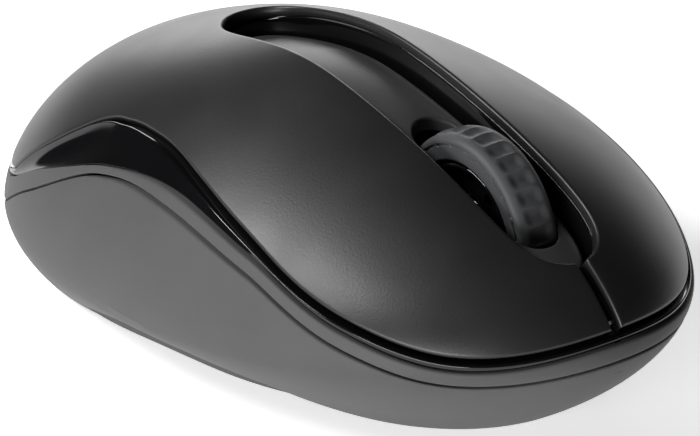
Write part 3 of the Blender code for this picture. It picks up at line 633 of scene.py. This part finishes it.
def base(material):
    angle, top, loops = base_loops()
    for share in (1, 0.72, 0.45, 0.22):
        loops.append(skin(angle, UNDERSIDE + share * (top - UNDERSIDE), WALL))
    foot = loops[-1].copy()
    foot[:, 2] = FLOOR_TOP
    adds, cuts = [], [box((-DOOR_HALF, DOOR_FRONT, -1), (DOOR_HALF, 60, DOOR_TOP))]
    for side in (-1, 1):
        near, far = sorted((side * 7.7, side * 9.2))
        case, stand = (side * CASE_SCREW_X, CASE_SCREW_Y, 0), (side * BOARD_SCREW_X, BOARD_SCREW_Y, 0)
        adds += [
            box((near, CARRIER_Y - 2, 2.1), (far, CARRIER_Y + 2, 18.1)),
            rod(case, "z", 3.4, 2.1, 5.4),
            rod(stand, "z", 2.2, 2.1, 3.3),
        ]
        cuts += [
            box((near - 1, CARRIER_Y - 1.3, 15.4), (far + 1, CARRIER_Y + 1.3, 19)),
            capped_solid(lathe_loops(case, "z", SCREW_WELL, 48)),
            rod(stand, "z", 1.2, 1.7, 4),
        ]
    cuts.append(box((-4, SENSOR_Y - 3.2, -1), (4, SENSOR_Y + 3.2, 4)))
    cuts.append(box((POWER_X - 1.7, POWER_Y - 2.3, -1), (POWER_X + 1.7, POWER_Y + 5.7, 4)))
    mesh = shaped("base", capped_solid([*loops, foot]), ("UNION", adds), ("DIFFERENCE", cuts))
    return piece("base", mesh, material, "body", ("base_shell",), sharp=32)


def door(material):
    _, _, loops = base_loops()
    half = DOOR_HALF - 0.2
    room = box((-half, DOOR_FRONT + 0.2, -1), (half, 60, DOOR_TOP - CLEAR))
    pull, faces = rod((0, DOOR_FRONT + 7, 0), "y", 3.0, -3, 3)
    cuts = [(pull * [1.6, 1, 0.14] + [0, 0, UNDERSIDE], faces)]
    for i in range(5):
        start = DOOR_FRONT + 1.2 * i
        cuts.append(box((-3.2, start + 12.0, 0), (3.2, start + 12.5, UNDERSIDE + 0.22)))
    mesh = shaped("door", capped_solid(loops), ("INTERSECT", [room]), ("DIFFERENCE", cuts))
    return piece("cell_door", mesh, material, "door", ("battery_door",), sharp=32)


# ---- Top opening
def lined_loop(inset, drop, half=None, front=None, rear=None, count=480, power=OPENING_POWER):
    """A loop of the top opening, inset in plan and dropped from the cover's rim."""
    front = OPENING_FRONT + inset if front is None else front
    rear = OPENING_REAR - inset if rear is None else rear
    plan = opening_loop(front, rear, OPENING_HALF - inset if half is None else half, count, power)
    z = rim_height(plan[:, 1]) - drop
    return np.concatenate([plan, z[:, None]], -1)


def arc(centre, radius, start, end, count=6):
    """Points of an arc in a section, as (inset, drop)."""
    angle = np.radians(np.linspace(start, end, count))
    return [(centre[0] + radius * math.cos(a), centre[1] - radius * math.sin(a)) for a in angle]


def tray(material):
    """The gloss channel round the spine: a rounded lip under the cover's edge, then a wall and a floor."""
    slot = {"half": 3.7, "front": WHEEL_SLOT_FRONT - 0.5, "rear": WHEEL_SLOT_REAR + 0.5, "power": 5}
    section = [(0.12, 5.5), (0.12, 1.0)] + arc((0.26, 1.05), 0.14, 150, 20)
    section += [(0.44, 1.6), (0.6, 2.8), (0.8, 4.2)] + arc((1.1, 4.45), 0.3, 180, 270, 4)
    loops = [lined_loop(*p) for p in section]
    loops += [lined_loop(0, 4.75, **slot), lined_loop(0, 5.5, **slot)]
    mesh = mesh_of("tray", *ring_solid(loops))
    return piece("top_tray", mesh, material, "body", ("centre_tray",), sharp=50)


def wheel_slot(grow=0):
    """The loop of the wheel's slot, grown on every side."""
    front, rear = WHEEL_SLOT_FRONT - grow, WHEEL_SLOT_REAR + grow
    return lined_loop(0, 0, WHEEL_SLOT_HALF + grow, front, rear, power=WHEEL_SLOT_POWER)


def spine(material):
    """The crowned bar in the opening, with rounded edges and the wheel's slot through it."""
    outer_inset, edge, lip = 1.35, 0.45, 0.35
    middle = lined_loop(outer_inset + edge, 0)
    inner = wheel_slot(lip)

    def crown(plan, depth):
        across = plan[:, 0] / SPINE_HALF
        height = rim_height(plan[:, 1]) - SPINE_DROP - SPINE_CROWN * across**2 - depth
        return np.concatenate([plan[:, :2], height[:, None]], -1)

    loops = []
    for a in np.radians([0, 15, 30, 50, 70, 90]):
        plan = lined_loop(outer_inset + edge * (1 - math.cos(a)), 0)
        loops.append(crown(plan, edge * (1 - math.sin(a))))
    for share in (0.15, 0.4, 0.7, 0.9, 1):
        loops.append(crown(middle * (1 - share) + inner * share, 0))
    for a in np.radians([70, 45, 20, 0]):
        grow = lip * (1 - math.cos(a))
        loops.append(crown(wheel_slot(grow), lip * (1 - math.sin(a))))
    loops.append(crown(wheel_slot(), SPINE_DEPTH))
    loops.append(crown(lined_loop(outer_inset, 0), SPINE_DEPTH))
    mesh = mesh_of("spine", *ring_solid(loops))
    return piece("top_spine", mesh, material, "body", ("centre_spine",), sharp=50)


def slot_strip(material):
    """The gloss strip in the slot between the click plates, stepped near the nose."""
    parts = []
    steps = ((-46.7, -45.5, 1.25), (-45.42, -44.6, 0.85), (-44.52, OPENING_FRONT + 0.1, 0.95))
    for start, end, drop in steps:
        y = np.linspace(start, end, 14)
        high = dome(np.zeros_like(y), y) - drop
        section = [(-0.5, -3.4), (-0.5, -0.12), (-0.38, 0), (0.38, 0), (0.5, -0.12), (0.5, -3.4)]
        parts.append(capped_solid([[(x, a, h + z) for x, z in section] for a, h in zip(y, high)]))
    mesh = mesh_of("slot_strip", *joined(parts))
    return piece("slot_strip", mesh, material, "body", ("nose_divider",))


# ---- Wheel
def tyre(material):
    """A rubber ring with a smooth shoulder, a scalloped crown and a dashed groove on each side."""
    per_lug = 28
    angle = np.linspace(0, FULL, LUGS * per_lug, endpoint=False)
    turn = (angle * LUGS / FULL) % 1
    ring = TYRE_RADIUS - DASH_BELOW_CROWN
    side = [(2.0, TYRE_INNER), (2.32, TYRE_INNER + 0.06), (2.46, TYRE_INNER + 0.2), (2.5, TYRE_INNER + 0.4)]
    side += [(2.5, ring + r) for r in (-0.6, -0.26, -0.20, -0.14, 0.14, 0.20, 0.26, SHOULDER_FOOT)]
    bend = np.radians(np.linspace(0, 90, 20))[1:]
    foot, rise = ring + SHOULDER_FOOT, TYRE_RADIUS - ring - SHOULDER_FOOT
    shoulder = [(TYRE_HALF * math.cos(a) ** 0.9, foot + rise * math.sin(a)) for a in bend]
    half = side + shoulder
    section = [(-x, r) for x, r in half] + [(x, r) for x, r in half[-2::-1]]
    dash_turn = (angle * DASHES / FULL) % 1
    dash = np.clip((0.5 - np.abs(dash_turn - 0.5)) / 0.03 - 2.2, 0, 1)
    scallop = np.abs(np.sin(math.pi * turn)) ** 0.9
    loops = []
    for x, r in section:
        groove = 0.0
        if abs(x) > 2.4:
            groove = DASH_DEPTH * max(0.0, 1 - max(0.0, abs(r - ring) - 0.14) / 0.06)
        fade = np.clip((1.75 - abs(x)) / 1.2, 0, 1)
        fade = fade * fade * (3 - 2 * fade)
        along = np.sign(x) * (abs(x) - groove * dash)
        radius = r - LUG_DEPTH * fade * scallop
        loops.append(np.stack([
            np.broadcast_to(along, angle.shape),
            WHEEL_Y + radius * np.cos(angle),
            WHEEL_Z + radius * np.sin(angle),
        ], -1))
    mesh = mesh_of("tyre", *ring_solid(loops))
    return piece("tyre", mesh, material, "wheel", ("wheel_tyre",), sharp=60)


def hub(material):
    """The gloss hub: a rounded rim, a dished web with holes, and a boss for the axle."""
    half = [
        (0, HUB_RADIUS), (1.95, HUB_RADIUS), (2.12, HUB_RADIUS - 0.06), (HUB_HALF, HUB_RADIUS - 0.18),
        (HUB_HALF, HUB_RADIUS - 0.42), (2.1, HUB_RADIUS - 0.58), (1.8, HUB_RADIUS - 0.75),
        (1.25, HUB_RADIUS - 1.1), (0.98, HUB_RADIUS - 1.5), (0.9, HUB_RADIUS - 1.9), (0.9, 3.9),
        (1.0, 3.6), (1.3, 3.3), (1.9, 3.1), (2.1, 3.0), (HUB_HALF, 2.85), (HUB_HALF, 1.6),
        (2.0, 1.4), (0, 1.4),
    ]
    profile = half[1:-1] + [(-x, r) for x, r in half[-2:0:-1]]
    centre = (0, WHEEL_Y, WHEEL_Z)
    body = ring_solid(lathe_loops(centre, "x", profile, 180))
    holes = []
    for i in range(6):
        a = math.radians(60 * i)
        spot = (0, WHEEL_Y + HUB_HOLE_AT * math.cos(a), WHEEL_Z + HUB_HOLE_AT * math.sin(a))
        holes.append(rod(spot, "x", 0.75, -2, 2, 32))
    mesh = shaped("hub", body, ("DIFFERENCE", holes))
    return piece("hub", mesh, material, "wheel", ("wheel_hub",))


# ---- Scene
def studio_light(name, azimuth, elevation, distance, size, watts):
    """A soft box facing the object; azimuth turns from +Y toward +X."""
    a, e = math.radians(azimuth), math.radians(elevation)
    way = Vector((math.sin(a) * math.cos(e), math.cos(a) * math.cos(e), math.sin(e)))
    light = bpy.data.lights.new(name, "AREA")
    light.shape = "RECTANGLE"
    light.size, light.size_y = size
    light.energy = watts
    obj = bpy.data.objects.new(name, light)
    obj.location = LIGHTS_AIM + way * distance
    obj.rotation_mode = "QUATERNION"
    obj.rotation_quaternion = way.to_track_quat("Z", "Y")
    bpy.context.scene.collection.objects.link(obj)


def add_floor():
    n = Nodes("floor_card")
    slow = n.spread(n.noise(6), 0.90, 0.92)
    n.put(n.surface.inputs["Base Color"], n.add(
        "ShaderNodeCombineColor", {"Red": slow, "Green": slow, "Blue": slow}).outputs["Color"])
    n.surface.inputs["Roughness"].default_value = 0.7
    n.surface.inputs["Emission Color"].default_value = (1, 1, 1, 1)
    n.surface.inputs["Emission Strength"].default_value = 0.6
    far = FLOOR_REACH
    mesh = bpy.data.meshes.new("floor")
    corners = [(-far, -far, 0), (far, -far, 0), (far, far, 0), (-far, far, 0)]
    mesh.from_pydata(corners, [], [(0, 1, 2, 3)])
    mesh.materials.append(n.material)
    obj = bpy.data.objects.new("floor", mesh)
    bpy.context.scene.collection.objects.link(obj)


def add_world():
    world = bpy.data.worlds.new("studio")
    world.use_nodes = True
    tree = world.node_tree
    sky = tree.nodes["Background"]
    where = tree.nodes.new("ShaderNodeTexCoord")
    split = tree.nodes.new("ShaderNodeSeparateXYZ")
    tree.links.new(where.outputs["Generated"], split.inputs[0])

    def ramp(value, low, high, start, end):
        node = tree.nodes.new("ShaderNodeMapRange")
        tree.links.new(value, node.inputs["Value"])
        for key, number in (("From Min", low), ("From Max", high), ("To Min", start), ("To Max", end)):
            node.inputs[key].default_value = number
        return node.outputs["Result"]

    toward = tree.nodes.new("ShaderNodeVectorMath")
    toward.operation = "DOT_PRODUCT"
    tree.links.new(where.outputs["Generated"], toward.inputs[0])
    toward.inputs[1].default_value = (math.sin(BRIGHT_AZIMUTH), math.cos(BRIGHT_AZIMUTH), 0)
    product = tree.nodes.new("ShaderNodeMath")
    product.operation = "MULTIPLY"
    tree.links.new(ramp(split.outputs["Z"], low=0.0, high=0.6, start=1.0, end=0.3), product.inputs[0])
    facing = ramp(toward.outputs["Value"], low=0.5, high=1.0, start=0.18, end=0.8)
    tree.links.new(facing, product.inputs[1])
    tree.links.new(product.outputs[0], sky.inputs["Strength"])
    bpy.context.scene.world = world


def add_camera():
    side, ahead = math.sin(CAMERA_AZIMUTH), math.cos(CAMERA_AZIMUTH)
    level = math.cos(CAMERA_ELEVATION)
    back = Vector((side * level, -ahead * level, math.sin(CAMERA_ELEVATION)))
    right = Vector((ahead, side, 0))
    up = back.cross(right)
    data = bpy.data.cameras.new("camera")
    data.sensor_width, data.sensor_fit, data.lens = 36.0, "HORIZONTAL", 330.7
    data.clip_start, data.clip_end = 0.05, 20
    camera = bpy.data.objects.new("camera", data)
    place = CAMERA_AIM + back * CAMERA_DISTANCE + right * CAMERA_RIGHT - up * CAMERA_DOWN
    turn = Matrix((right, up, back)).transposed().to_4x4()
    camera.matrix_world = Matrix.Translation(place) @ turn
    bpy.context.scene.collection.objects.link(camera)
    bpy.context.scene.camera = camera


def main():
    for obj in list(bpy.data.objects):
        bpy.data.objects.remove(obj)
    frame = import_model()
    looks = make_materials()
    slots = {part["node"]: part["material_slot"] for part in frame["record"]["subparts"]}
    for name, obj in frame["nodes"].items():
        obj.data.materials.clear()
        obj.data.materials.append(looks[slots[name]])

    cover_half(1, looks["cover_plastic"])
    cover_half(-1, looks["cover_plastic"])
    base(looks["base_plastic"])
    door(looks["base_plastic"])
    belt = band(lambda a: parting(a) + CLEAR / 2, lambda a: trim_edge(a) - 0.06, WALL)
    piece("belt", mesh_of("belt", *belt), looks["base_plastic"], "body", ("belt_frame",))
    gloss = looks["gloss_plastic"]
    trim = band(
        lambda a: trim_edge(a) + 0.06, lambda a: cover_edge(a) - press_gap(a),
        WALL, dish=0.02, lean=0.4,
    )
    piece("side_trim", mesh_of("trim", *trim), gloss, "body", ("gloss_trim",))
    tray(gloss)
    spine(looks["spine_plastic"])
    slot_strip(gloss)
    tyre(looks["tyre_rubber"])
    hub(gloss)

    for name, obj in frame["nodes"].items():
        if not obj.hide_render:
            edge = obj.modifiers.new("edge", "BEVEL")
            edge.width, edge.segments, edge.limit_method = EDGE_ROUND, 2, "ANGLE"
            edge.angle_limit = EDGE_ANGLE

    add_floor()
    add_world()
    studio_light("strip", -58, 45, distance=0.8, size=(0.50, 0.14), watts=5.2)
    studio_light("rear", 34, 13, distance=0.9, size=(0.60, 0.34), watts=2.9)
    studio_light("right", 66, 6, distance=0.9, size=(0.50, 0.25), watts=0.3)
    studio_light("left", -112, 10, distance=0.9, size=(0.60, 0.20), watts=6.0)
    add_camera()
    bpy.context.scene.view_settings.view_transform = "Standard"


main()
